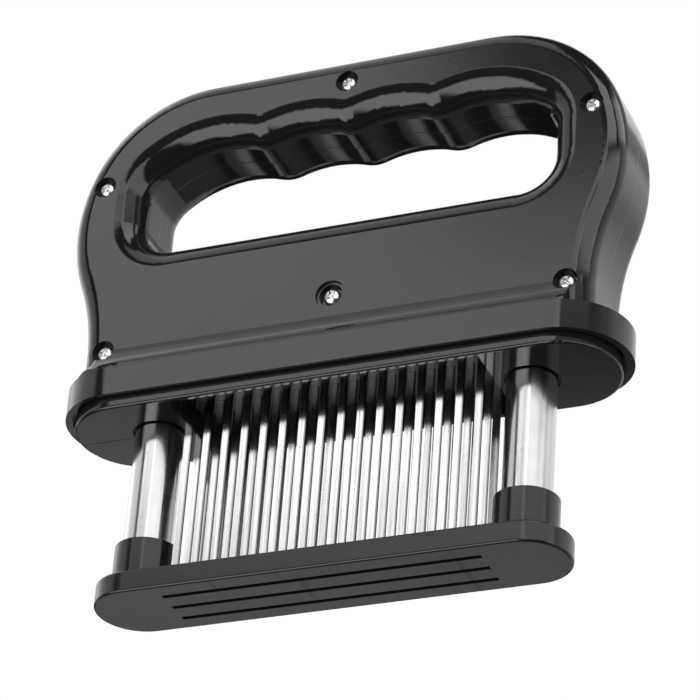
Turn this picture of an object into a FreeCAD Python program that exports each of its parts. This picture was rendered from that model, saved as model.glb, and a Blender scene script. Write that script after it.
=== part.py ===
import FreeCAD, Part
import math
import os
import re

from FreeCAD import Placement, Rotation, Vector
from Sketcher import Constraint

# Hand-held meat tenderizer with three rows of sprung blades.
# Origin: centre of the foot's underside. X along the foot, front towards -Y, +Z up, millimetres.

doc = FreeCAD.newDocument("tenderizer")

# Driving sizes
SIZES = {
    # foot plate with its two column collars
    "foot_half_length": 61.6,
    "foot_half_width": 11.3,
    "foot_thickness": 5.8,
    "foot_edge_round": 0.6,
    "collar_radius": 8.15,
    "collar_height": 10.7,
    "slot_half_length": 41.3,
    "slot_width": 1.5,
    # columns
    "column_spacing": 99.6,
    "column_radius": 6.25,
    "column_bore": 5.0,
    "column_seat": 2.0,
    "column_top": 60.4,
    "column_fit": 0.05,
    "clip_groove_depth": 0.55,
    "clip_width": 1.0,
    "clip_reach": 1.0,
    "clip_gap": 5.0,
    "clip_fit": 0.05,
    "buffer_thickness": 1.2,
    # springs and their guide rods
    "spring_radius": 4.5,
    "spring_bore": 3.5,
    "rod_radius": 2.9,
    "rod_bottom": 40.0,
    "rod_head_radius": 4.6,
    "rod_head_thickness": 2.0,
    # guide bushes in the housing
    "bush_running_fit": 0.08,
    "bush_wall": 1.3,
    "bush_lip": 1.0,
    "socket_fit": 0.05,
    # base of the housing
    "base_height": 50.0,
    "base_half_length": 72.2,
    "base_half_width": 15.7,
    "base_edge_round": 0.7,
    "floor_thickness": 7.0,
    "rim_rise": 3.1,
    "rim_gap": 0.9,
    "rim_gap_depth": 5.0,
    "skirt_half_length": 75.0,
    "skirt_half_width": 17.5,
    "skirt_height": 7.9,
    "cove_height": 9.7,
    "cove_sink": 0.15,
    # handle outline, measured on the flat front face
    "body_half_depth": 13.1,
    "body_top": 143.0,
    "shoulder_radius": 31.0,
    "bulge_half_width": 70.4,
    "bulge_height": 107.8,
    "bulge_radius": 42.0,
    "waist_half_width": 63.2,
    "waist_radius": 70.0,
    "edge_round": 5.0,
    "wall": 2.5,
    # finger hole, measured at the parting plane
    "hole_half_width": 56.4,
    "hole_bottom": 99.0,
    "hole_corner": 9.0,
    "finger_pitch": 24.0,
    "finger_top": 129.7,
    "finger_radius": 28.0,
    "ridge_radius": 9.0,
    "hole_round": 6.8,
    "hole_wall": 3.5,
    # screws that join the two halves
    "screw_head_radius": 2.25,
    "screw_head_height": 1.5,
    "screw_shank_radius": 1.4,
    "screw_length": 15.0,
    "screw_fit": 0.05,
    "recess_width": 0.7,
    "recess_length": 2.7,
    "recess_depth": 0.9,
    "counterbore_radius": 3.1,
    "counterbore_depth": 2.1,
    "counterbore_step": 0.75,
    "counterbore_step_depth": 0.7,
    "boss_radius": 4.2,
    "upper_screw_half_spread": 67.0,
    "upper_screw_height": 119.8,
    "top_screw_height": 140.0,
    "lower_screw_half_spread": 61.9,
    "lower_screw_height": 68.8,
    "middle_screw_height": 75.4,
    # blades and their carrier
    "blade_width": 1.9,
    "blade_thickness": 0.6,
    "blade_tip": 2.4,
    "blade_point": 2.0,
    "blade_pitch": 5.16,
    "row_pitch": 5.9,
    "blade_fit": 0.06,
    "head_width": 3.2,
    "head_height": 1.6,
    "window_half_length": 41.0,
    "window_half_width": 14.2,
    "carrier_half_length": 41.4,
    "carrier_half_width": 10.4,
    "carrier_thickness": 5.8,
    "cap_thickness": 3.0,
    "tongue_reach": 1.3,
    "tongue_thickness": 2.0,
    "carrier_fit": 0.15,
}
BLADES_PER_ROW = 16
ROWS = 3

sheet = doc.addObject("Spreadsheet::Sheet", "sizes")
for row, (alias, value) in enumerate(SIZES.items(), start=1):
    sheet.set(f"A{row}", alias)
    sheet.set(f"B{row}", str(value))
    sheet.setAlias(f"B{row}", alias)
doc.recompute()


def size(alias):
    """The value that the sheet holds under this alias."""
    return float(sheet.get(alias))


def formula(text):
    """An expression over the sheet's aliases."""
    return re.sub(r"[a-z][a-z_]+", lambda word: "sizes." + word.group(), text)


def number(text):
    """The value that a formula gives now."""
    return float(sheet.evalExpression(formula(text)))


def bind(feature, **expressions):
    """Ties properties of a feature to the sheet."""
    for prop, text in expressions.items():
        feature.setExpression(prop, formula(text))


def place(feature, x="0", y="0", z="0"):
    """Ties the position of a feature to the sheet."""
    for axis, text in (("x", x), ("y", y), ("z", z)):
        feature.setExpression("Placement.Base." + axis, formula(text))


# Part primitives
def cylinder(name, radius, height, x="0", y="0", z="0"):
    solid = doc.addObject("Part::Cylinder", name)
    bind(solid, Radius=radius, Height=height)
    place(solid, x, y, z)
    return solid


def box(name, length, width, height, x="0", y="0", z="0"):
    """A box centred on x and y, standing on z."""
    solid = doc.addObject("Part::Box", name)
    bind(solid, Length=length, Width=width, Height=height)
    place(solid, f"{x} - ({length}) / 2", f"{y} - ({width}) / 2", z)
    return solid


def fuse(name, shapes):
    solid = doc.addObject("Part::MultiFuse", name)
    solid.Shapes = shapes
    return solid


def cut(name, base, tool):
    solid = doc.addObject("Part::Cut", name)
    solid.Base = base
    solid.Tool = tool
    return solid


# Sketches
def origin_plane(body, role):
    return next(item for item in body.Origin.OriginFeatures if item.Role == role)


def sketch_at(body, name, role="XY_Plane", height="0"):
    """A sketch on an origin plane, raised by height along the plane's normal."""
    sketch = body.newObject("Sketcher::SketchObject", name)
    sketch.AttachmentSupport = [(origin_plane(body, role), "")]
    sketch.MapMode = "FlatFace"
    sketch.setExpression("AttachmentOffset.Base.z", formula(height))
    return sketch


def size_limit(sketch, kind, refs, text):
    """A dimension of the sketch tied to the sheet."""
    index = sketch.addConstraint(Constraint(kind, *refs, number(text)))
    sketch.setExpression(f"Constraints[{index}]", formula(text))


def add_circle(sketch, radius, x, side=1):
    """A circle on the sketch's first axis, x away from the origin towards the given side."""
    guess = Part.Circle(Vector(side * number(x), 0, 0), Vector(0, 0, 1), number(radius))
    edge = sketch.addGeometry(guess, False)
    sketch.addConstraint(Constraint("PointOnObject", edge, 3, -1))
    size_limit(sketch, "DistanceX", (-1, 1, edge, 3) if side > 0 else (edge, 3, -1, 1), x)
    size_limit(sketch, "Radius", (edge,), radius)


def add_rectangle(sketch, half_length, half_width, y="0", side=1):
    """A rectangle centred on x, its middle y away from the origin towards the given side."""
    across, along, middle = number(half_length), number(half_width), side * number(y)
    corners = [
        Vector(-across, middle - along, 0),
        Vector(across, middle - along, 0),
        Vector(across, middle + along, 0),
        Vector(-across, middle + along, 0),
    ]
    edges = []
    for start, end in zip(corners, corners[1:] + corners[:1]):
        edges.append(sketch.addGeometry(Part.LineSegment(start, end), False))
    bottom, right, top, left = edges
    for first, second in ((bottom, right), (right, top), (top, left), (left, bottom)):
        sketch.addConstraint(Constraint("Coincident", first, 2, second, 1))
    for edge, kind in ((bottom, "Horizontal"), (right, "Vertical"), (top, "Horizontal"), (left, "Vertical")):
        sketch.addConstraint(Constraint(kind, edge))
    size_limit(sketch, "DistanceX", (bottom, 1, bottom, 2), f"2 * ({half_length})")
    size_limit(sketch, "DistanceY", (right, 1, right, 2), f"2 * ({half_width})")
    size_limit(sketch, "DistanceX", (-1, 1, right, 2), half_length)
    outer = (-1, 1, right, 2) if side > 0 else (right, 1, -1, 1)
    size_limit(sketch, "DistanceY", outer, f"{y} + {half_width}")


def add_stadium(sketch, half_length, half_width):
    """A slot outline with round ends, centred on the origin."""
    straight = number(half_length) - number(half_width)
    radius = number(half_width)
    up = Vector(0, 0, 1)
    right_arc = Part.ArcOfCircle(Part.Circle(Vector(straight, 0, 0), up, radius), -math.pi / 2, math.pi / 2)
    left_arc = Part.ArcOfCircle(Part.Circle(Vector(-straight, 0, 0), up, radius), math.pi / 2, 3 * math.pi / 2)
    right = sketch.addGeometry(right_arc, False)
    top_line = Part.LineSegment(Vector(straight, radius, 0), Vector(-straight, radius, 0))
    top = sketch.addGeometry(top_line, False)
    left = sketch.addGeometry(left_arc, False)
    bottom_line = Part.LineSegment(Vector(-straight, -radius, 0), Vector(straight, -radius, 0))
    bottom = sketch.addGeometry(bottom_line, False)
    for first, first_end, second, second_end in (
        (right, 2, top, 1),
        (top, 2, left, 1),
        (left, 2, bottom, 1),
        (bottom, 2, right, 1),
    ):
        sketch.addConstraint(Constraint("Tangent", first, first_end, second, second_end))
    sketch.addConstraint(Constraint("PointOnObject", right, 3, -1))
    sketch.addConstraint(Constraint("PointOnObject", left, 3, -1))
    size_limit(sketch, "Radius", (right,), half_width)
    size_limit(sketch, "DistanceX", (-1, 1, right, 3), f"{half_length} - ({half_width})")
    size_limit(sketch, "DistanceX", (left, 3, -1, 1), f"{half_length} - ({half_width})")


def new_body(label):
    body = doc.addObject("PartDesign::Body", label)
    body.Label = label
    return body


def pad(body, sketch, length, downwards=False):
    feature = body.newObject("PartDesign::Pad", sketch.Name + "_pad")
    feature.Profile = sketch
    bind(feature, Length=length)
    feature.Reversed = downwards
    sketch.Visibility = False
    doc.recompute()
    return feature


def pocket(body, sketch, length, downwards=False):
    """A blind cut from the sketch, upwards unless told otherwise."""
    before = body.Shape.Volume
    feature = body.newObject("PartDesign::Pocket", sketch.Name + "_pocket")
    feature.Profile = sketch
    bind(feature, Length=length)
    feature.Reversed = not downwards
    doc.recompute()
    if body.Shape.Volume >= before:
        raise ValueError(sketch.Name + " cuts nothing")
    return feature


# Outlines in the XZ plane, shared by the two halves of the housing
def rounded_chain(points):
    """Edges through a list of (end, middle) pairs: an arc where a middle is given, else a line."""
    edges = []
    start = points[0][0]
    for end, middle in points[1:]:
        if middle is None:
            edges.append(Part.LineSegment(start, end).toShape())
        else:
            edges.append(Part.Arc(start, middle, end).toShape())
        start = end
    return edges


def point(x, z):
    return Vector(x, 0, z)


def on_circle(centre, radius, angle):
    return point(centre.x + radius * math.cos(angle), centre.z + radius * math.sin(angle))


def direction(start, end):
    return math.atan2(end.z - start.z, end.x - start.x)


def mirrored(vector):
    return None if vector is None else point(-vector.x, vector.z)


def closed_face(half):
    """A face from the right half of a symmetric outline, listed from its top centre to its bottom."""
    left = []
    for index in range(len(half) - 1, 0, -1):
        left.append((mirrored(half[index - 1][0]), mirrored(half[index][1])))
    first_left = (mirrored(half[-1][0]), None)
    return Part.Face(Part.Wire(rounded_chain(half + [first_left] + left)))


def handle_outline(offset, bottom):
    """The handle's outline moved out by offset from the flat face's edge."""
    shoulder = size("shoulder_radius")
    bulge = size("bulge_radius")
    waist = size("waist_radius")
    bulge_centre = point(size("bulge_half_width") - bulge, size("bulge_height"))
    shoulder_rise = size("body_top") - shoulder - bulge_centre.z
    shoulder_run = math.sqrt((bulge - shoulder) ** 2 - shoulder_rise ** 2)
    shoulder_centre = point(bulge_centre.x + shoulder_run, bulge_centre.z + shoulder_rise)
    waist_run = size("waist_half_width") + waist - bulge_centre.x
    waist_drop = math.sqrt((bulge + waist) ** 2 - waist_run ** 2)
    waist_centre = point(bulge_centre.x + waist_run, bulge_centre.z - waist_drop)
    to_shoulder = direction(bulge_centre, shoulder_centre)
    to_waist = direction(bulge_centre, waist_centre)
    from_waist = to_waist + math.pi
    outer_shoulder = shoulder + offset
    outer_bulge = bulge + offset
    outer_waist = waist - offset
    half = [
        (point(0, size("body_top") + offset), None),
        (on_circle(shoulder_centre, outer_shoulder, math.pi / 2), None),
        (
            on_circle(shoulder_centre, outer_shoulder, to_shoulder),
            on_circle(shoulder_centre, outer_shoulder, (math.pi / 2 + to_shoulder) / 2),
        ),
        (
            on_circle(bulge_centre, outer_bulge, to_waist),
            on_circle(bulge_centre, outer_bulge, (to_shoulder + to_waist) / 2),
        ),
        (
            on_circle(waist_centre, outer_waist, math.pi),
            on_circle(waist_centre, outer_waist, (math.pi + from_waist) / 2),
        ),
        (point(size("waist_half_width") + offset, bottom), None),
    ]
    return closed_face(half)


def hole_outline(offset):
    """The finger hole's outline, grown by offset from its size at the parting plane."""
    valley = size("finger_radius") + offset
    ridge = size("ridge_radius") - offset
    corner = size("hole_corner") + offset
    pitch = size("finger_pitch")
    valley_height = size("finger_top") - size("finger_radius")
    reach = size("finger_radius") + size("ridge_radius")
    ridge_height = valley_height + math.sqrt(reach ** 2 - (pitch / 2) ** 2)
    inner_valley = point(pitch / 2, valley_height)
    outer_valley = point(1.5 * pitch, valley_height)
    ridges = [point(0, ridge_height), point(pitch, ridge_height)]
    side = size("hole_half_width")
    corner_x = side - size("hole_corner")
    corner_run = corner_x - outer_valley.x
    corner_reach = size("finger_radius") - size("hole_corner")
    upper_corner = point(corner_x, valley_height + math.sqrt(corner_reach ** 2 - corner_run ** 2))
    lower_corner = point(corner_x, size("hole_bottom") + size("hole_corner"))
    meets = []
    for valley_centre, ridge_centre in (
        (inner_valley, ridges[0]),
        (inner_valley, ridges[1]),
        (outer_valley, ridges[1]),
    ):
        meets.append(on_circle(valley_centre, valley, direction(valley_centre, ridge_centre)))
    to_corner = direction(outer_valley, upper_corner)
    to_last_ridge = direction(outer_valley, ridges[1])
    half = [
        (on_circle(ridges[0], ridge, -math.pi / 2), None),
        (meets[0], on_circle(ridges[0], ridge, -math.pi / 2 + (math.pi / 2 + direction(ridges[0], inner_valley)) / 2)),
        (meets[1], on_circle(inner_valley, valley, math.pi / 2)),
        (meets[2], on_circle(ridges[1], ridge, -math.pi / 2)),
        (
            on_circle(outer_valley, valley, to_corner),
            on_circle(outer_valley, valley, (to_corner + to_last_ridge) / 2),
        ),
        (point(side + offset, upper_corner.z), on_circle(upper_corner, corner, to_corner / 2)),
        (point(side + offset, lower_corner.z), None),
        (point(lower_corner.x, lower_corner.z - corner), on_circle(lower_corner, corner, -math.pi / 4)),
    ]
    return closed_face(half)


def through_depth(face, half_depth):
    """The outline as a solid from -half_depth to +half_depth in Y."""
    flat = face.copy()
    flat.translate(Vector(0, -half_depth, 0))
    return flat.extrude(Vector(0, 2 * half_depth, 0))


def stadium(half_length, half_width, bottom, top):
    """An upright solid with a round-ended outline."""
    straight = half_length - half_width
    middle = Part.makeBox(2 * straight, 2 * half_width, top - bottom, Vector(-straight, -half_width, bottom))
    ends = [Part.makeCylinder(half_width, top - bottom, Vector(side * straight, 0, bottom)) for side in (-1, 1)]
    return middle.multiFuse(ends).removeSplitter()


def block(half_length, half_width, bottom, top, x=0.0):
    """An upright box centred on x and on the parting plane."""
    corner = Vector(x - half_length, -half_width, bottom)
    return Part.makeBox(2 * half_length, 2 * half_width, top - bottom, corner)


def rounded_handle():
    """The handle's outer solid with its edges and its finger hole rounded."""
    depth = size("body_half_depth")
    bottom = size("base_height") + size("rim_rise") + size("skirt_height") / 2
    outer = handle_outline(size("edge_round"), bottom)
    blank = through_depth(outer, depth)
    long_edges = []
    for edge in blank.Edges:
        middle = edge.valueAt((edge.FirstParameter + edge.LastParameter) / 2)
        if abs(abs(middle.y) - depth) < 1e-4 and middle.z > bottom + 1e-3:
            long_edges.append(edge)
    handle = blank.makeFillet(size("edge_round"), long_edges)
    handle = handle.cut(through_depth(hole_outline(0), depth + 1))
    hole_edges = []
    for edge in handle.Edges:
        middle = edge.valueAt((edge.FirstParameter + edge.LastParameter) / 2)
        inside = abs(middle.x) < size("hole_half_width") + 1e-3 and middle.z > size("hole_bottom") - 1e-3
        if abs(abs(middle.y) - depth) < 1e-4 and inside and middle.z < size("finger_top") + 1e-3:
            hole_edges.append(edge)
    return handle.makeFillet(size("hole_round"), hole_edges)


def cove():
    """The hollow flare between the flat faces and the skirt, fading out at the corners."""
    depth = size("body_half_depth") - size("cove_sink")
    reach = size("skirt_half_width") - depth
    rise = size("cove_height")
    low = size("base_height") + size("rim_rise") + size("skirt_height")
    high = low + rise
    radius = (rise ** 2 + reach ** 2) / (2 * reach)
    sweep = math.asin(rise / radius) / 2
    half_length = size("waist_half_width") - size("cove_sink")

    def profile(run):
        """The flare's section: run counts outwards from the flat face."""
        bend = radius * (1 - math.cos(sweep))
        return [run(0, high), run(bend, high - radius * math.sin(sweep)), run(reach, low), run(0, low)]

    def section(run):
        top, middle, toe, heel = profile(run)
        edges = [Part.Arc(top, middle, toe).toShape(), Part.LineSegment(toe, heel).toShape()]
        edges.append(Part.LineSegment(heel, top).toShape())
        return Part.Face(Part.Wire(edges))

    pieces = []
    for side in (-1, 1):
        def lengthways(out, height, side=side):
            return Vector(-half_length, side * (depth + out), height)
        pieces.append(section(lengthways).extrude(Vector(2 * half_length, 0, 0)))
        for end in (-1, 1):
            def around(out, height, side=side, end=end):
                return Vector(end * half_length + out, side * depth, height)
            axis_foot = Vector(end * half_length, side * depth, 0)
            pieces.append(section(around).revolve(axis_foot, Vector(0, 0, 1), 360))
    blank = pieces[0].multiFuse(pieces[1:])
    return blank.common(stadium(size("skirt_half_length"), size("skirt_half_width"), low - 1, high + 1))


def screw_places():
    """Where the six screws stand: x, z and whether the counterbore is stepped."""
    upper = size("upper_screw_half_spread")
    lower = size("lower_screw_half_spread")
    return [
        (-upper, size("upper_screw_height"), False),
        (upper, size("upper_screw_height"), False),
        (0.0, size("top_screw_height"), False),
        (-lower, size("lower_screw_height"), False),
        (lower, size("lower_screw_height"), False),
        (0.0, size("middle_screw_height"), True),
    ]


def along_depth(radius, x, z, front, back):
    """A cylinder lying along Y from front to back."""
    return Part.makeCylinder(radius, back - front, Vector(x, front, z), Vector(0, 1, 0))


def cavity():
    """The hollow inside the two halves, without the bosses."""
    depth = size("body_half_depth") - size("wall")
    floor = size("base_height") + size("floor_thickness")
    inside = through_depth(handle_outline(size("edge_round") - size("wall"), floor), depth)
    return inside.cut(through_depth(hole_outline(size("hole_wall")), depth + 1))


def column_openings():
    """Bush sockets, mouths and rod cups for the columns."""
    bush = size("column_radius") + size("bush_running_fit") + size("bush_wall")
    socket = bush + size("socket_fit")
    mouth = bush - size("bush_wall") / 2
    bottom = size("base_height")
    shoulder = bottom + size("bush_lip")
    floor = bottom + size("floor_thickness")
    head_room = size("rod_head_radius") + size("socket_fit")
    ceiling = size("hole_bottom") - size("hole_wall")
    openings = []
    for side in (-1, 1):
        x = side * size("column_spacing") / 2
        openings.append(Part.makeCylinder(mouth, size("bush_lip") + 2, Vector(x, 0, bottom - 1)))
        openings.append(Part.makeCylinder(socket, floor - shoulder + 1, Vector(x, 0, shoulder)))
        openings.append(Part.makeCylinder(head_room, size("rod_head_thickness"), Vector(x, 0, ceiling - size("rod_head_thickness"))))
    return openings


def rod_cups():
    """Solid rings under the finger hole that hold the heads of the guide rods."""
    ceiling = size("hole_bottom") - size("hole_wall")
    radius = size("rod_head_radius") + size("wall")
    depth = size("rod_head_thickness") * 0.75
    cups = []
    for side in (-1, 1):
        x = side * size("column_spacing") / 2
        cups.append(Part.makeCylinder(radius, depth + size("wall"), Vector(x, 0, ceiling - depth)))
    return cups


def housing_block():
    """Both halves as one hollow solid, before the screws' places are cut."""
    base = size("base_height")
    rim = base + size("rim_rise")
    ledge = rim + size("skirt_height")
    floor = base + size("floor_thickness")
    groove_top = base + size("rim_gap_depth")
    plate = stadium(size("base_half_length"), size("base_half_width"), base, rim + 1)
    round_edges = [edge for edge in plate.Edges if edge.BoundBox.ZMax < base + 1e-4]
    plate = plate.makeFillet(size("base_edge_round"), round_edges)
    skirt = stadium(size("skirt_half_length"), size("skirt_half_width"), rim, ledge)
    gap = size("rim_gap")
    groove = stadium(size("base_half_length") + gap, size("base_half_width") + gap, base - 1, groove_top)
    groove = groove.cut(stadium(size("base_half_length"), size("base_half_width"), base - 2, groove_top + 1))
    hollow = cavity()
    solid = rounded_handle().multiFuse([skirt, plate]).cut(groove).cut(hollow)
    solid = solid.multiFuse(rod_cups())
    window = block(size("window_half_length"), size("window_half_width"), base - 1, floor)
    seam = floor + size("carrier_fit") + size("carrier_thickness")
    tongue = size("tongue_thickness") + size("carrier_fit") / 2
    room_length = size("carrier_half_length") + size("carrier_fit")
    room_width = size("carrier_half_width") + size("carrier_fit")
    carrier_room = block(room_length, room_width, floor - 1, seam + size("cap_thickness") + 1)
    tongue_room = block(room_length, room_width + size("tongue_reach"), seam - tongue, seam + tongue)
    for opening in [window, carrier_room, tongue_room] + column_openings():
        solid = solid.cut(opening)
    return solid.fuse(cove().cut(hollow))


def front_half(whole):
    """The half towards -Y: through holes for the screws under deep counterbores."""
    face = -size("body_half_depth")
    far = 2 * size("skirt_half_length")
    half = whole.common(Part.makeBox(2 * far, far, far, Vector(-far, -far, 0)))
    head_seat = face + size("counterbore_depth")
    for x, z, _ in screw_places():
        half = half.fuse(along_depth(size("boss_radius"), x, z, face + size("counterbore_step_depth"), 0))
    for x, z, stepped in screw_places():
        half = half.cut(along_depth(size("screw_shank_radius") + size("screw_fit"), x, z, face, 1))
        half = half.cut(along_depth(size("counterbore_radius"), x, z, face - far / 2, head_seat))
        if stepped:
            step = size("counterbore_radius") + size("counterbore_step")
            half = half.cut(along_depth(step, x, z, face - 1, face + size("counterbore_step_depth")))
    return half


def rear_half(whole):
    """The half towards +Y: blind bosses that the screws cut their thread in."""
    back = size("body_half_depth")
    far = 2 * size("skirt_half_length")
    half = whole.common(Part.makeBox(2 * far, far, far, Vector(-far, 0, 0)))
    pilot = size("screw_length") + size("counterbore_depth") - size("body_half_depth") + 0.5
    for x, z, _ in screw_places():
        half = half.fuse(along_depth(size("boss_radius"), x, z, 0, back - size("counterbore_step_depth")))
    for x, z, _ in screw_places():
        half = half.cut(along_depth(size("screw_shank_radius") + size("screw_fit"), x, z, -1, pilot))
    return half


def one_screw():
    """A pan-head screw with a cross recess, head's seat on the origin, shank along +Y."""
    head = size("screw_head_radius")
    rise = size("screw_head_height")
    shank = size("screw_shank_radius")
    length = size("screw_length")
    profile = [
        Vector(0, length, 0),
        Vector(shank * 0.35, length, 0),
        Vector(shank, length - 1.5 * shank, 0),
        Vector(shank, 0, 0),
        Vector(head, 0, 0),
        Vector(head, -0.35 * rise, 0),
    ]
    edges = [Part.LineSegment(start, end).toShape() for start, end in zip(profile, profile[1:])]
    crown = Part.Arc(profile[-1], Vector(0.68 * head, -0.85 * rise, 0), Vector(0, -rise, 0))
    edges.append(crown.toShape())
    edges.append(Part.LineSegment(Vector(0, -rise, 0), profile[0]).toShape())
    turned = Part.Face(Part.Wire(edges)).revolve(Vector(0, 0, 0), Vector(0, 1, 0), 360)
    across = size("recess_length") / 2
    half_slot = size("recess_width") / 2
    depth = size("recess_depth")
    for half_x, half_z in ((across, half_slot), (half_slot, across)):
        slot = Part.makeBox(2 * half_x, depth + 1, 2 * half_z, Vector(-half_x, -rise - 1, -half_z))
        turned = turned.cut(slot)
    return turned


def screw_group():
    """All six screws, each turned a little differently about its own axis."""
    seat = size("counterbore_depth") - size("body_half_depth")
    screws = []
    for index, (x, z, _) in enumerate(screw_places()):
        turn = Rotation(Vector(0, 1, 0), 12 + 31 * index)
        screws.append(one_screw().transformed(Placement(Vector(x, seat, z), turn).toMatrix()))
    return Part.makeCompound(screws)


def row_offsets():
    return [(index - (ROWS - 1) / 2) * size("row_pitch") for index in range(ROWS)]


def blade_offsets():
    return [(index - (BLADES_PER_ROW - 1) / 2) * size("blade_pitch") for index in range(BLADES_PER_ROW)]


def carrier_bottom():
    return size("base_height") + size("floor_thickness") + size("carrier_fit")


def one_blade(grow):
    """A flat blade with a wide head and a slanted point, grown by grow on each side."""
    half = size("blade_width") / 2 + grow
    head = size("head_width") / 2 + grow
    top = carrier_bottom() + size("carrier_thickness")
    neck = top - size("head_height")
    tip = size("blade_tip")
    corners = [
        point(-half, tip),
        point(half, tip + size("blade_point")),
        point(half, neck),
        point(head, neck),
        point(head, top),
        point(-head, top),
        point(-head, neck),
        point(-half, neck),
    ]
    outline = Part.Face(Part.makePolygon(corners + corners[:1]))
    return through_depth(outline, size("blade_thickness") / 2 + grow)


def blade_row(offset, grow=0.0):
    blade = one_blade(grow)
    return [blade.translated(Vector(x, offset, 0)) for x in blade_offsets()]


def carrier():
    """The block that the blades pass through, with a tongue held between the two halves."""
    low = carrier_bottom()
    high = low + size("carrier_thickness")
    length = size("carrier_half_length")
    width = size("carrier_half_width")
    tongue = size("tongue_thickness")
    solid = block(length, width, low, high)
    solid = solid.fuse(block(length, width + size("tongue_reach"), high - tongue, high))
    slots = [slot for offset in row_offsets() for slot in blade_row(offset, size("blade_fit"))]
    return solid.cut(Part.makeCompound(slots))


def carrier_cap():
    """The plate that closes the carrier over the heads of the blades."""
    low = carrier_bottom() + size("carrier_thickness")
    length = size("carrier_half_length")
    width = size("carrier_half_width")
    plate = block(length, width, low, low + size("cap_thickness"))
    return plate.fuse(block(length, width + size("tongue_reach"), low, low + size("tongue_thickness")))


sub_parts = []


def sub_part(label, feature):
    """Names a finished piece and puts it on the list of pieces to write."""
    feature.Label = label
    sub_parts.append((label, feature))


def shaped(label, shape):
    """A piece whose shape is worked out above from the sheet's values."""
    feature = doc.addObject("Part::Feature", label)
    feature.Shape = shape
    feature.Placement = Placement()
    sub_part(label, feature)


# Housing
whole_housing = housing_block()
shaped("front_housing", front_half(whole_housing))
shaped("rear_housing", rear_half(whole_housing))
shaped("housing_screws", screw_group())

# Blades and their carrier
shaped("blade_carrier", carrier())
shaped("blade_carrier_cap", carrier_cap())
for row_name, offset in zip(("front", "middle", "rear"), row_offsets()):
    shaped(row_name + "_blade_row", Part.makeCompound(blade_row(offset)))

# Foot plate
foot = new_body("foot_plate")
outline = sketch_at(foot, "foot_outline")
add_stadium(outline, "foot_half_length", "foot_half_width")
plate = pad(foot, outline, "foot_thickness")
rims = [f"Edge{index}" for index, edge in enumerate(plate.Shape.Edges, start=1) if edge.BoundBox.ZLength < 0.1]
rounding = foot.newObject("PartDesign::Fillet", "foot_rounding")
rounding.Base = (plate, rims)
bind(rounding, Radius="foot_edge_round")
doc.recompute()
collars = sketch_at(foot, "collars", height="foot_thickness")
for side in (-1, 1):
    add_circle(collars, "collar_radius", "column_spacing / 2", side)
pad(foot, collars, "collar_height")
bores = sketch_at(foot, "column_bores", height="column_seat")
for side in (-1, 1):
    add_circle(bores, "column_radius + column_fit", "column_spacing / 2", side)
pocket(foot, bores, "foot_thickness + collar_height")
slots = sketch_at(foot, "blade_slots")
for y, side in (("row_pitch", -1), ("0", 1), ("row_pitch", 1)):
    add_rectangle(slots, "slot_half_length", "slot_width / 2", y, side)
pocket(foot, slots, "foot_thickness")
sub_part("foot_plate", foot)

# Columns, springs and what holds them, left then right
FLOOR = "base_height + floor_thickness"
CLIP_FLOOR = FLOOR + " + buffer_thickness + clip_fit"
CEILING = "hole_bottom - hole_wall"
BUSH_BORE = "column_radius + bush_running_fit"
for side, x in (("left", "-column_spacing / 2"), ("right", "column_spacing / 2")):
    length = "column_top - column_seat"
    rod = cylinder(side + "_column_rod", "column_radius", length, x, z="column_seat")
    bore = cylinder(side + "_column_bore", "column_bore", length, x, z="column_seat")
    tube = cut(side + "_column_tube", rod, bore)
    groove_foot = CLIP_FLOOR + " - clip_fit"
    groove_width = "clip_width + 2 * clip_fit"
    around = cylinder(side + "_groove_outside", "column_radius + 1", groove_width, x, z=groove_foot)
    core = cylinder(side + "_groove_core", "column_radius - clip_groove_depth", groove_width, x, z=groove_foot)
    sub_part(side + "_column", cut(side + "_column", tube, cut(side + "_groove", around, core)))

    disc = cylinder(side + "_clip_disc", "column_radius + clip_reach", "clip_width", x, z=CLIP_FLOOR)
    seat = cylinder(side + "_clip_seat", "column_radius - clip_groove_depth + clip_fit", "clip_width", x, z=CLIP_FLOOR)
    ring = cut(side + "_clip_ring", disc, seat)
    opening = box(side + "_clip_opening", "column_radius", "clip_gap", "clip_width",
                  x + " + column_radius", z=CLIP_FLOOR)
    sub_part(side + "_column_clip", cut(side + "_column_clip", ring, opening))

    buffer_disc = cylinder(side + "_buffer_disc", BUSH_BORE + " + bush_wall", "buffer_thickness", x, z=FLOOR)
    buffer_hole = cylinder(side + "_buffer_hole", BUSH_BORE + " + clip_fit", "buffer_thickness", x, z=FLOOR)
    sub_part(side + "_buffer_washer", cut(side + "_buffer_washer", buffer_disc, buffer_hole))

    bush_foot = "base_height + bush_lip"
    bush_length = "floor_thickness - bush_lip"
    bush_disc = cylinder(side + "_bush_disc", BUSH_BORE + " + bush_wall", bush_length, x, z=bush_foot)
    bush_hole = cylinder(side + "_bush_hole", BUSH_BORE, bush_length, x, z=bush_foot)
    sub_part(side + "_guide_bush", cut(side + "_guide_bush", bush_disc, bush_hole))

    head_foot = CEILING + " - rod_head_thickness"
    stem = cylinder(side + "_rod_stem", "rod_radius", head_foot + " - rod_bottom", x, z="rod_bottom")
    head = cylinder(side + "_rod_head", "rod_head_radius", "rod_head_thickness", x, z=head_foot)
    sub_part(side + "_spring_rod", fuse(side + "_spring_rod", [stem, head]))

    coil_length = head_foot + " - column_seat"
    coil = cylinder(side + "_spring_outside", "spring_radius", coil_length, x, z="column_seat")
    coil_bore = cylinder(side + "_spring_inside", "spring_bore", coil_length, x, z="column_seat")
    sub_part(side + "_spring", cut(side + "_spring", coil, coil_bore))

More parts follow.
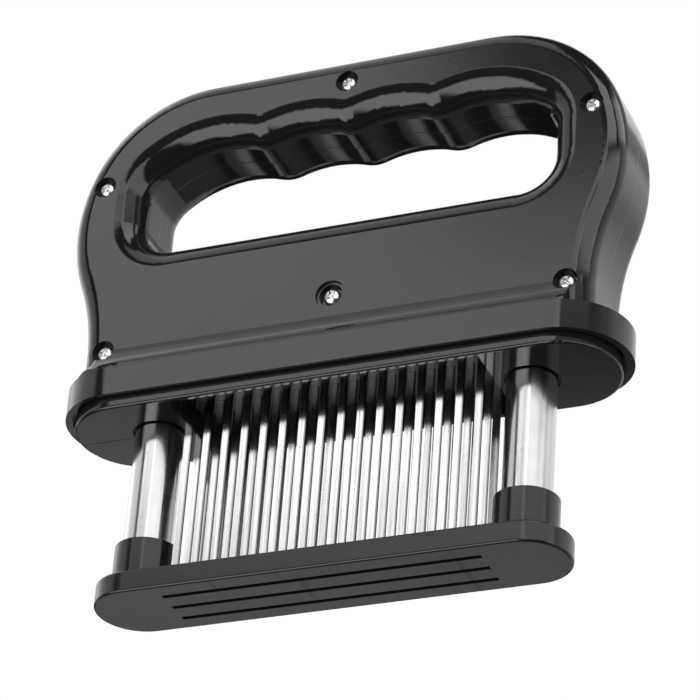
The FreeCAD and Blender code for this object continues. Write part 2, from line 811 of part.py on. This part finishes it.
doc.recompute()
for feature in doc.Objects:
    if "Invalid" in feature.State or "Error" in feature.State:
        raise ValueError(feature.Name + " did not build")
os.makedirs("parts", exist_ok=True)
for label, feature in sub_parts:
    shape = feature.Shape
    if shape.isNull() or not shape.isValid():
        raise ValueError(label + " is not a sound solid")
    shape.exportStep(f"parts/{label}.step")
    print(label, len(shape.Solids), "solids", round(shape.Volume, 1), "mm3")
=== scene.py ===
import bmesh
import bpy
import math
from mathutils import Matrix, Vector


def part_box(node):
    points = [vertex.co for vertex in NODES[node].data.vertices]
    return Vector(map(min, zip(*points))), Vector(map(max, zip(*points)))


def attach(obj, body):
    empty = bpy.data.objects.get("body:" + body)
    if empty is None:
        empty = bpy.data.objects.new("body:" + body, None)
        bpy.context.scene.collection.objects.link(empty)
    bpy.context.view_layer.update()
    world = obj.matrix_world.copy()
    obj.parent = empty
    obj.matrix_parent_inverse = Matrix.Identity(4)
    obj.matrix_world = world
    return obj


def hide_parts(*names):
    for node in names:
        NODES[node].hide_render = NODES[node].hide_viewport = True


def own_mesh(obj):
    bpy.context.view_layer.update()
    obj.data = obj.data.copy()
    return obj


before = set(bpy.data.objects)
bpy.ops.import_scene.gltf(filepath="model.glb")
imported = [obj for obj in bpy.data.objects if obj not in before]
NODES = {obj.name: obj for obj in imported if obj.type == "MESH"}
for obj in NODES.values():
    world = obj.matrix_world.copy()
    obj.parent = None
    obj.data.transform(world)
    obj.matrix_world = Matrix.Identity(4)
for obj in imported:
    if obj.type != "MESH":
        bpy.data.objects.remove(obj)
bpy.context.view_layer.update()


# Camera, under the object and to its right, as the photograph was taken
CAMERA_PLACE = (0.304585, -0.668034, -0.370354)
CAMERA_RIGHT = (0.9239, 0.37685, 0.0662)
CAMERA_UP = (0.14099, -0.49615, 0.85671)


def photo_camera():
    data = bpy.data.cameras.new("photo_camera")
    data.sensor_width = 36.0
    data.lens = 175.92
    data.clip_start = 0.01
    data.clip_end = 20.0
    camera = bpy.data.objects.new("photo_camera", data)
    right = Vector(CAMERA_RIGHT)
    up = Vector(CAMERA_UP)
    back = right.cross(up)
    turn = Matrix((right, up, back)).transposed().to_4x4()
    camera.matrix_world = Matrix.Translation(CAMERA_PLACE) @ turn
    bpy.context.scene.collection.objects.link(camera)
    bpy.context.scene.camera = camera


# Return springs, hidden in the columns: wound wire in place of the frame's plain tubes
SPRING_TURNS = 22
SPRING_WIRE_RADIUS = 0.0005
STEPS_PER_TURN = 24
WIRE_SIDES = 10


def return_spring(side, steel):
    node = side + "_spring"
    low, high = (Vector(corner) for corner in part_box(node))
    middle = (low + high) / 2
    coil_radius = (high.x - low.x) / 2 - SPRING_WIRE_RADIUS
    rise = high.z - low.z - 2 * SPRING_WIRE_RADIUS
    steps = SPRING_TURNS * STEPS_PER_TURN
    shape = bmesh.new()
    bmesh.ops.create_circle(shape, segments=WIRE_SIDES, radius=SPRING_WIRE_RADIUS)
    upright = Matrix.Rotation(math.radians(90), 3, "X")
    bmesh.ops.rotate(shape, verts=shape.verts, matrix=upright)
    start = Vector((middle.x + coil_radius, middle.y, low.z + SPRING_WIRE_RADIUS))
    bmesh.ops.translate(shape, verts=shape.verts, vec=start)
    bmesh.ops.spin(
        shape,
        geom=shape.verts[:] + shape.edges[:],
        cent=(middle.x, middle.y, 0.0),
        axis=(0.0, 0.0, 1.0),
        dvec=(0.0, 0.0, rise / steps),
        angle=math.tau * SPRING_TURNS,
        steps=steps,
        use_merge=False,
    )
    open_ends = [edge for edge in shape.edges if edge.is_boundary]
    bmesh.ops.holes_fill(shape, edges=open_ends, sides=0)
    bmesh.ops.recalc_face_normals(shape, faces=shape.faces)
    mesh = bpy.data.meshes.new(side + "_wound_spring")
    shape.to_mesh(mesh)
    shape.free()
    mesh.shade_smooth()
    mesh.materials.append(steel)
    spring = bpy.data.objects.new(side + "_wound_spring", mesh)
    bpy.context.scene.collection.objects.link(spring)
    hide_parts(node)
    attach(spring, "foot")
    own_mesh(spring)


# Shader helpers
def socket(group, name, kind, default=None, output=False, low=None, high=None):
    """A named input or output of a shader group."""
    way = "OUTPUT" if output else "INPUT"
    made = group.interface.new_socket(name, in_out=way, socket_type=kind)
    if default is not None:
        made.default_value = default
    if low is not None:
        made.min_value = low
        made.max_value = high
    return made


def math_node(nodes, operation, x=None, y=None, clamp=False):
    node = nodes.new("ShaderNodeMath")
    node.operation = operation
    node.use_clamp = clamp
    if x is not None:
        node.inputs[0].default_value = x
    if y is not None:
        node.inputs[1].default_value = y
    return node


def handling_wear():
    """Fine scuffs and a faint greasy mottling: a roughness, a tint factor and a height."""
    group = bpy.data.node_groups.new("handling_wear", "ShaderNodeTree")
    socket(group, "Roughness", "NodeSocketFloat", 0.2, low=0.0, high=1.0)
    socket(group, "Smudge", "NodeSocketFloat", 0.05, low=0.0, high=1.0)
    socket(group, "Scuff", "NodeSocketFloat", 0.1, low=0.0, high=1.0)
    socket(group, "Smudge size", "NodeSocketFloat", 40.0, low=0.0, high=2000.0)
    socket(group, "Scuff size", "NodeSocketFloat", 400.0, low=0.0, high=5000.0)
    socket(group, "Roughness", "NodeSocketFloat", output=True)
    socket(group, "Tint", "NodeSocketFloat", output=True)
    socket(group, "Height", "NodeSocketFloat", output=True)
    nodes, links = group.nodes, group.links
    given = nodes.new("NodeGroupInput")
    result = nodes.new("NodeGroupOutput")
    place = nodes.new("ShaderNodeTexCoord")

    smudge = nodes.new("ShaderNodeTexNoise")
    smudge.inputs["Detail"].default_value = 4.0
    smudge.inputs["Roughness"].default_value = 0.55
    links.new(place.outputs["Object"], smudge.inputs["Vector"])
    links.new(given.outputs["Smudge size"], smudge.inputs["Scale"])

    drawn = nodes.new("ShaderNodeMapping")
    drawn.inputs["Rotation"].default_value = (0.2, 0.5, 0.9)
    drawn.inputs["Scale"].default_value = (1.0, 0.06, 1.0)
    links.new(place.outputs["Object"], drawn.inputs["Vector"])
    scuff = nodes.new("ShaderNodeTexNoise")
    scuff.inputs["Detail"].default_value = 2.0
    links.new(drawn.outputs["Vector"], scuff.inputs["Vector"])
    links.new(given.outputs["Scuff size"], scuff.inputs["Scale"])
    fine = nodes.new("ShaderNodeMapRange")
    fine.inputs["From Min"].default_value = 0.62
    fine.inputs["From Max"].default_value = 0.78
    links.new(scuff.outputs["Fac"], fine.inputs["Value"])

    patches = math_node(nodes, "SUBTRACT", y=0.5)
    links.new(smudge.outputs["Fac"], patches.inputs[0])
    smudged = math_node(nodes, "MULTIPLY")
    links.new(patches.outputs[0], smudged.inputs[0])
    links.new(given.outputs["Smudge"], smudged.inputs[1])
    scuffed = math_node(nodes, "MULTIPLY")
    links.new(fine.outputs["Result"], scuffed.inputs[0])
    links.new(given.outputs["Scuff"], scuffed.inputs[1])
    both = math_node(nodes, "ADD")
    links.new(smudged.outputs[0], both.inputs[0])
    links.new(scuffed.outputs[0], both.inputs[1])
    rough = math_node(nodes, "ADD", clamp=True)
    links.new(both.outputs[0], rough.inputs[0])
    links.new(given.outputs["Roughness"], rough.inputs[1])
    links.new(rough.outputs[0], result.inputs["Roughness"])
    links.new(smudge.outputs["Fac"], result.inputs["Tint"])
    links.new(fine.outputs["Result"], result.inputs["Height"])
    return group


DARKEST_PATCH = 0.9


def finish(name, color, roughness, wear, metallic=0.0, smudge=0.05, scuff=0.08, smudge_size=45.0,
           scuff_size=500.0, bump=0.0):
    """A Principled material whose colour and gloss vary with the wear group."""
    material = bpy.data.materials.new(name)
    material.use_nodes = True
    nodes, links = material.node_tree.nodes, material.node_tree.links
    shader = nodes["Principled BSDF"]
    shader.inputs["Metallic"].default_value = metallic
    worn = nodes.new("ShaderNodeGroup")
    worn.node_tree = wear
    worn.inputs["Roughness"].default_value = roughness
    worn.inputs["Smudge"].default_value = smudge
    worn.inputs["Scuff"].default_value = scuff
    worn.inputs["Smudge size"].default_value = smudge_size
    worn.inputs["Scuff size"].default_value = scuff_size
    links.new(worn.outputs["Roughness"], shader.inputs["Roughness"])
    tones = nodes.new("ShaderNodeMix")
    tones.data_type = "RGBA"
    tones.inputs["A"].default_value = [channel * DARKEST_PATCH for channel in color] + [1.0]
    tones.inputs["B"].default_value = list(color) + [1.0]
    links.new(worn.outputs["Tint"], tones.inputs["Factor"])
    links.new(tones.outputs["Result"], shader.inputs["Base Color"])
    if bump:
        relief = nodes.new("ShaderNodeBump")
        relief.inputs["Strength"].default_value = bump
        relief.inputs["Distance"].default_value = 0.0001
        links.new(worn.outputs["Height"], relief.inputs["Height"])
        links.new(relief.outputs["Normal"], shader.inputs["Normal"])
    return material


def dress(material, *names):
    """Gives CAD nodes their finish."""
    for name in names:
        mesh = NODES[name].data
        mesh.materials.clear()
        mesh.materials.append(material)


LARGE_FACES_FIRST = 50


def even_shading(*names):
    """Weights the shading by face area, so that slivers beside a fillet don't show as dashes."""
    for name in names:
        weighted = NODES[name].modifiers.new("even_shading", "WEIGHTED_NORMAL")
        weighted.mode = "FACE_AREA"
        weighted.weight = LARGE_FACES_FIRST
        weighted.keep_sharp = True


def lit_panel():
    """How bright a soft panel is in one direction: a rectangle in azimuth and elevation, in degrees."""
    group = bpy.data.node_groups.new("lit_panel", "ShaderNodeTree")
    for name in ("Azimuth", "Elevation", "Left", "Right", "Low", "High", "Edge", "Strength"):
        socket(group, name, "NodeSocketFloat", 0.0)
    socket(group, "Light", "NodeSocketFloat", output=True)
    nodes, links = group.nodes, group.links
    given = nodes.new("NodeGroupInput")
    result = nodes.new("NodeGroupOutput")
    light = given.outputs["Strength"]
    sides = (("Azimuth", "Left"), ("Right", "Azimuth"), ("Elevation", "Low"), ("High", "Elevation"))
    for larger, smaller in sides:
        inside = math_node(nodes, "SUBTRACT")
        links.new(given.outputs[larger], inside.inputs[0])
        links.new(given.outputs[smaller], inside.inputs[1])
        ramp = nodes.new("ShaderNodeMapRange")
        ramp.interpolation_type = "SMOOTHSTEP"
        links.new(inside.outputs[0], ramp.inputs["Value"])
        ramp.inputs["From Min"].default_value = 0.0
        links.new(given.outputs["Edge"], ramp.inputs["From Max"])
        dimmed = math_node(nodes, "MULTIPLY")
        links.new(light, dimmed.inputs[0])
        links.new(ramp.outputs["Result"], dimmed.inputs[1])
        light = dimmed.outputs[0]
    links.new(light, result.inputs["Light"])
    return group


# Soft panels and flags that the glossy surfaces mirror. Each line has the left and right azimuth,
# from the front towards +X, the low and high elevation, the softness of the edge and the
# brightness, which is negative where a flag takes light away.
PANELS = {
    "front_softbox": (-37.0, 14.0, 25.3, 39.0, 3.0, 2.1),
    "front_corner_flag": (-25.0, 8.0, 31.5, 46.0, 4.0, -2.0),
    "right_softbox": (9.0, 62.0, 31.0, 62.0, 5.0, 2.7),
    "right_far_softbox": (68.0, 125.0, 31.5, 58.0, 6.0, 1.9),
    "left_softbox": (-125.0, -45.0, 5.0, 62.0, 8.0, 0.85),
    "upper_front_panel": (-112.0, -4.0, 42.0, 80.0, 6.0, 1.0),
    "low_front_panel": (-62.0, 4.0, -60.0, -4.0, 9.0, 2.9),
    "right_low_fill": (2.0, 92.0, -10.0, 33.0, 8.0, 2.0),
    "right_back_flag": (122.0, 178.0, 31.0, 78.0, 5.0, -0.6),
    "low_back_flag": (-180.0, -156.0, -42.0, -28.0, 4.0, -0.35),
    "horizon_flag": (-178.0, -112.0, -25.0, 19.0, 6.0, -0.8),
}


FLOOR_HEIGHT = -1.2
FLOOR_HALF_SIZE = 6.0
OVERHEAD_FLAG_CENTRE = (0.1, 0.0, 1.0)
TENT_LIGHT = 0.85


def studio():
    """A white tent with a pale floor far below. Glossy surfaces mirror dark cloth and the panels."""
    floor_mesh = bpy.data.meshes.new("studio_floor")
    shape = bmesh.new()
    bmesh.ops.create_grid(shape, x_segments=1, y_segments=1, size=FLOOR_HALF_SIZE)
    bmesh.ops.translate(shape, verts=shape.verts, vec=(0.0, 0.0, FLOOR_HEIGHT))
    shape.to_mesh(floor_mesh)
    shape.free()
    floor = bpy.data.objects.new("studio_floor", floor_mesh)
    floor.visible_glossy = False
    bpy.context.scene.collection.objects.link(floor)
    paint = bpy.data.materials.new("floor_paint")
    paint.use_nodes = True
    nodes, links = paint.node_tree.nodes, paint.node_tree.links
    shader = nodes["Principled BSDF"]
    shader.inputs["Base Color"].default_value = (0.8, 0.8, 0.8, 1.0)
    shader.inputs["Roughness"].default_value = 0.9
    glow = nodes.new("ShaderNodeEmission")
    glow.inputs["Color"].default_value = (1.0, 1.0, 1.0, 1.0)
    ray = nodes.new("ShaderNodeLightPath")
    mix = nodes.new("ShaderNodeMixShader")
    links.new(ray.outputs["Is Camera Ray"], mix.inputs["Fac"])
    links.new(shader.outputs["BSDF"], mix.inputs[1])
    links.new(glow.outputs["Emission"], mix.inputs[2])
    links.new(mix.outputs["Shader"], nodes["Material Output"].inputs["Surface"])
    floor_mesh.materials.append(paint)

    world = bpy.data.worlds.new("white_tent")
    bpy.context.scene.world = world
    world.use_nodes = True
    nodes, links = world.node_tree.nodes, world.node_tree.links
    direction = nodes.new("ShaderNodeTexCoord")
    parts = nodes.new("ShaderNodeSeparateXYZ")
    links.new(direction.outputs["Generated"], parts.inputs["Vector"])
    ahead = math_node(nodes, "MULTIPLY", y=-1.0)
    links.new(parts.outputs["Y"], ahead.inputs[0])
    turn = math_node(nodes, "ARCTAN2")
    links.new(parts.outputs["X"], turn.inputs[0])
    links.new(ahead.outputs[0], turn.inputs[1])
    azimuth = math_node(nodes, "DEGREES")
    links.new(turn.outputs[0], azimuth.inputs[0])
    rise = math_node(nodes, "ARCSINE")
    links.new(parts.outputs["Z"], rise.inputs[0])
    elevation = math_node(nodes, "DEGREES")
    links.new(rise.outputs[0], elevation.inputs[0])

    def fade(source, low, high, dark, bright):
        ramp = nodes.new("ShaderNodeMapRange")
        ramp.interpolation_type = "SMOOTHSTEP"
        ramp.inputs["From Min"].default_value = low
        ramp.inputs["From Max"].default_value = high
        ramp.inputs["To Min"].default_value = dark
        ramp.inputs["To Max"].default_value = bright
        links.new(source, ramp.inputs["Value"])
        return ramp.outputs["Result"]

    def times(one, other):
        node = math_node(nodes, "MULTIPLY")
        links.new(one, node.inputs[0])
        links.new(other, node.inputs[1])
        return node.outputs[0]

    back = fade(parts.outputs["Y"], low=-0.3, high=0.4, dark=0.03, bright=1.0)
    low_back = fade(elevation.outputs[0], low=-33.0, high=-27.0, dark=0.2, bright=0.72)
    upper = fade(elevation.outputs[0], low=10.0, high=27.0, dark=0.0, bright=0.28)
    level = math_node(nodes, "ADD")
    links.new(low_back, level.inputs[0])
    links.new(upper, level.inputs[1])
    overhead = nodes.new("ShaderNodeVectorMath")
    overhead.operation = "DOT_PRODUCT"
    overhead.inputs[1].default_value = Vector(OVERHEAD_FLAG_CENTRE).normalized()
    links.new(direction.outputs["Generated"], overhead.inputs[0])
    flag = fade(overhead.outputs["Value"], low=0.87, high=0.93, dark=1.0, bright=0.04)
    light = times(times(back, level.outputs[0]), flag)
    panel_group = lit_panel()
    words = ("Left", "Right", "Low", "High", "Edge", "Strength")
    for name, values in PANELS.items():
        panel = nodes.new("ShaderNodeGroup")
        panel.node_tree = panel_group
        panel.label = name
        links.new(azimuth.outputs[0], panel.inputs["Azimuth"])
        links.new(elevation.outputs[0], panel.inputs["Elevation"])
        for word, value in zip(words, values):
            panel.inputs[word].default_value = value
        total = math_node(nodes, "ADD")
        links.new(light, total.inputs[0])
        links.new(panel.outputs["Light"], total.inputs[1])
        light = total.outputs[0]

    lit_only = math_node(nodes, "MAXIMUM", y=0.0)
    links.new(light, lit_only.inputs[0])
    mirrored = nodes.new("ShaderNodeBackground")
    links.new(lit_only.outputs[0], mirrored.inputs["Strength"])
    lit = nodes.new("ShaderNodeBackground")
    lit.inputs["Strength"].default_value = TENT_LIGHT
    seen = nodes["Background"]
    for white in (mirrored, lit, seen):
        white.inputs["Color"].default_value = (1.0, 1.0, 1.0, 1.0)
    seen.inputs["Strength"].default_value = 1.0
    ray = nodes.new("ShaderNodeLightPath")
    first = nodes.new("ShaderNodeMixShader")
    links.new(ray.outputs["Is Glossy Ray"], first.inputs["Fac"])
    links.new(lit.outputs["Background"], first.inputs[1])
    links.new(mirrored.outputs["Background"], first.inputs[2])
    mix = nodes.new("ShaderNodeMixShader")
    links.new(ray.outputs["Is Camera Ray"], mix.inputs["Fac"])
    links.new(first.outputs["Shader"], mix.inputs[1])
    links.new(seen.outputs["Background"], mix.inputs[2])
    links.new(mix.outputs["Shader"], nodes["World Output"].inputs["Surface"])


def drawn_grain():
    """Fine lines along Z, as left by rolling or drawing: a value for the tone and the gloss."""
    group = bpy.data.node_groups.new("drawn_grain", "ShaderNodeTree")
    socket(group, "Line size", "NodeSocketFloat", 2500.0, low=0.0, high=20000.0)
    socket(group, "Amount", "NodeSocketFloat", 0.3, low=0.0, high=1.0)
    socket(group, "Rough add", "NodeSocketFloat", 0.1, low=0.0, high=1.0)
    socket(group, "Tone", "NodeSocketFloat", output=True)
    socket(group, "Extra roughness", "NodeSocketFloat", output=True)
    nodes, links = group.nodes, group.links
    given = nodes.new("NodeGroupInput")
    result = nodes.new("NodeGroupOutput")
    place = nodes.new("ShaderNodeTexCoord")
    stretched = nodes.new("ShaderNodeMapping")
    stretched.inputs["Scale"].default_value = (1.0, 1.0, 0.012)
    links.new(place.outputs["Object"], stretched.inputs["Vector"])
    lines = nodes.new("ShaderNodeTexNoise")
    lines.inputs["Detail"].default_value = 3.0
    links.new(stretched.outputs["Vector"], lines.inputs["Vector"])
    links.new(given.outputs["Line size"], lines.inputs["Scale"])
    spread = nodes.new("ShaderNodeMapRange")
    spread.inputs["From Min"].default_value = 0.35
    spread.inputs["From Max"].default_value = 0.65
    links.new(lines.outputs["Fac"], spread.inputs["Value"])
    darker = math_node(nodes, "MULTIPLY")
    links.new(spread.outputs["Result"], darker.inputs[0])
    links.new(given.outputs["Amount"], darker.inputs[1])
    tone = math_node(nodes, "SUBTRACT", x=1.0)
    links.new(darker.outputs[0], tone.inputs[1])
    rougher = math_node(nodes, "MULTIPLY")
    links.new(spread.outputs["Result"], rougher.inputs[0])
    links.new(given.outputs["Rough add"], rougher.inputs[1])
    links.new(tone.outputs[0], result.inputs["Tone"])
    links.new(rougher.outputs[0], result.inputs["Extra roughness"])
    return group


def add_grain(material, grain, line_size, amount, rough_add):
    """Lays the drawn lines over a metal's colour and gloss."""
    nodes, links = material.node_tree.nodes, material.node_tree.links
    shader = nodes["Principled BSDF"]
    lines = nodes.new("ShaderNodeGroup")
    lines.node_tree = grain
    lines.inputs["Line size"].default_value = line_size
    lines.inputs["Amount"].default_value = amount
    lines.inputs["Rough add"].default_value = rough_add
    color = shader.inputs["Base Color"].links[0].from_socket
    toned = nodes.new("ShaderNodeVectorMath")
    toned.operation = "SCALE"
    links.new(color, toned.inputs[0])
    links.new(lines.outputs["Tone"], toned.inputs["Scale"])
    links.new(toned.outputs["Vector"], shader.inputs["Base Color"])
    gloss = shader.inputs["Roughness"].links[0].from_socket
    total = math_node(nodes, "ADD", clamp=True)
    links.new(gloss, total.inputs[0])
    links.new(lines.outputs["Extra roughness"], total.inputs[1])
    links.new(total.outputs[0], shader.inputs["Roughness"])


BLADE_PITCH = 0.00516
FIRST_BLADE = -7.5 * BLADE_PITCH
# Painted shade: a near-black strip along each blade's right side, standing in for the darker look of a
# bevel there.
SIDE_SHADE_START = 0.00055
SIDE_SHADE_END = 0.00065
SIDE_SHADE_STRENGTH = 0.7
SIDE_PAINTED_SHADE_TONE = (0.1, 0.1, 0.1, 1.0)
# Painted shade: the near-black colour given to the blades' cut edges, which also get a higher
# roughness.
CUT_EDGE_PAINTED_SHADE = (0.05, 0.05, 0.05, 1.0)
CUT_EDGE_ROUGHNESS = 0.5


def paint_blade_edge_shade(material):
    """Paints shade on the blades: their cut edges, which face along X, are coloured near black and made
    rougher, and a strip along each one's right side is darkened to stand in for a bevel's darker look.
    """
    nodes, links = material.node_tree.nodes, material.node_tree.links
    shader = nodes["Principled BSDF"]
    place = nodes.new("ShaderNodeTexCoord")
    parts = nodes.new("ShaderNodeSeparateXYZ")
    links.new(place.outputs["Normal"], parts.inputs["Vector"])
    where = nodes.new("ShaderNodeSeparateXYZ")
    sideways = math_node(nodes, "ABSOLUTE")
    links.new(parts.outputs["X"], sideways.inputs[0])
    # Painted shade: faces whose normals turn along X, the blades' cut edges, are mixed towards near
    # black.
    edge = nodes.new("ShaderNodeMapRange")
    edge.inputs["From Min"].default_value = 0.5
    edge.inputs["From Max"].default_value = 0.8
    links.new(sideways.outputs[0], edge.inputs["Value"])
    links.new(place.outputs["Object"], where.inputs["Vector"])
    along = math_node(nodes, "SUBTRACT", y=FIRST_BLADE)
    links.new(where.outputs["X"], along.inputs[0])
    across = math_node(nodes, "WRAP", y=BLADE_PITCH / 2)
    across.inputs[2].default_value = -BLADE_PITCH / 2
    links.new(along.outputs[0], across.inputs[0])
    # Painted shade: the strip on each blade's right side, mixed towards near black below.
    side_shade_mask = nodes.new("ShaderNodeMapRange")
    side_shade_mask.inputs["From Min"].default_value = SIDE_SHADE_START
    side_shade_mask.inputs["From Max"].default_value = SIDE_SHADE_END
    side_shade_mask.inputs["To Max"].default_value = SIDE_SHADE_STRENGTH
    links.new(across.outputs[0], side_shade_mask.inputs["Value"])
    color = shader.inputs["Base Color"].links[0].from_socket
    side_shade_mix = nodes.new("ShaderNodeMix")
    side_shade_mix.data_type = "RGBA"
    links.new(color, side_shade_mix.inputs["A"])
    side_shade_mix.inputs["B"].default_value = SIDE_PAINTED_SHADE_TONE
    links.new(side_shade_mask.outputs["Result"], side_shade_mix.inputs["Factor"])
    tones = nodes.new("ShaderNodeMix")
    tones.data_type = "RGBA"
    links.new(side_shade_mix.outputs["Result"], tones.inputs["A"])
    tones.inputs["B"].default_value = CUT_EDGE_PAINTED_SHADE
    links.new(edge.outputs["Result"], tones.inputs["Factor"])
    links.new(tones.outputs["Result"], shader.inputs["Base Color"])
    gloss = shader.inputs["Roughness"].links[0].from_socket
    rough = nodes.new("ShaderNodeMix")
    links.new(gloss, rough.inputs["A"])
    rough.inputs["B"].default_value = CUT_EDGE_ROUGHNESS
    links.new(edge.outputs["Result"], rough.inputs["Factor"])
    links.new(rough.outputs["Result"], shader.inputs["Roughness"])


def parting_line(material):
    """The fine joint line where the two halves of the housing meet, at y = 0."""
    nodes, links = material.node_tree.nodes, material.node_tree.links
    shader = nodes["Principled BSDF"]
    place = nodes.new("ShaderNodeTexCoord")
    parts = nodes.new("ShaderNodeSeparateXYZ")
    links.new(place.outputs["Object"], parts.inputs["Vector"])
    away = math_node(nodes, "ABSOLUTE")
    links.new(parts.outputs["Y"], away.inputs[0])
    near = nodes.new("ShaderNodeMapRange")
    near.interpolation_type = "SMOOTHSTEP"
    near.inputs["From Min"].default_value = 0.00006
    near.inputs["From Max"].default_value = 0.00022
    links.new(away.outputs[0], near.inputs["Value"])
    relief = nodes.new("ShaderNodeBump")
    relief.inputs["Strength"].default_value = 0.3
    relief.inputs["Distance"].default_value = 0.0001
    links.new(near.outputs["Result"], relief.inputs["Height"])
    before = shader.inputs["Normal"].links
    if before:
        links.new(before[0].from_socket, relief.inputs["Normal"])
    links.new(relief.outputs["Normal"], shader.inputs["Normal"])


bpy.context.scene.view_settings.view_transform = "Standard"
photo_camera()
studio()

wear = handling_wear()
BLACK = (0.014, 0.014, 0.015)
housing_plastic = finish("housing_plastic", BLACK, 0.09, wear, smudge=0.05, scuff=0.04, bump=0.03)
parting_line(housing_plastic)
foot_plastic = finish("foot_plastic", BLACK, 0.16, wear, smudge=0.07, scuff=0.08, bump=0.04)
carrier_plastic = finish("carrier_plastic", (0.08, 0.08, 0.08), 0.45, wear, smudge=0.1, bump=0.05)
screw_steel = finish("screw_steel", (0.88, 0.88, 0.89), 0.3, wear, metallic=1.0, smudge=0.12,
                     smudge_size=300.0)
grain = drawn_grain()
blade_steel = finish("blade_steel", (0.8, 0.8, 0.81), 0.15, wear, metallic=1.0, smudge=0.08,
                     smudge_size=120.0, scuff_size=1500.0)
add_grain(blade_steel, grain, line_size=1800.0, amount=0.15, rough_add=0.08)
paint_blade_edge_shade(blade_steel)
column_chrome = finish("column_chrome", (0.68, 0.68, 0.69), 0.16, wear, metallic=1.0, smudge=0.1,
                       smudge_size=150.0)
add_grain(column_chrome, grain, line_size=900.0, amount=0.12, rough_add=0.08)
spring_steel = finish("spring_steel", (0.5, 0.5, 0.51), 0.3, wear, metallic=1.0)
bush_plastic = finish("bush_plastic", (0.03, 0.03, 0.03), 0.35, wear, smudge=0.1)
buffer_rubber = finish("buffer_rubber", (0.025, 0.025, 0.025), 0.75, wear, smudge=0.1, scuff=0.1)

dress(housing_plastic, "front_housing", "rear_housing")
even_shading("front_housing", "rear_housing")
dress(foot_plastic, "foot_plate")
dress(carrier_plastic, "blade_carrier", "blade_carrier_cap")
dress(screw_steel, "housing_screws")
dress(blade_steel, "front_blade_row", "middle_blade_row", "rear_blade_row")
for side in ("left", "right"):
    dress(column_chrome, side + "_column")
    dress(spring_steel, side + "_column_clip", side + "_spring_rod")
    return_spring(side, spring_steel)
    dress(bush_plastic, side + "_guide_bush")
    dress(buffer_rubber, side + "_buffer_washer")
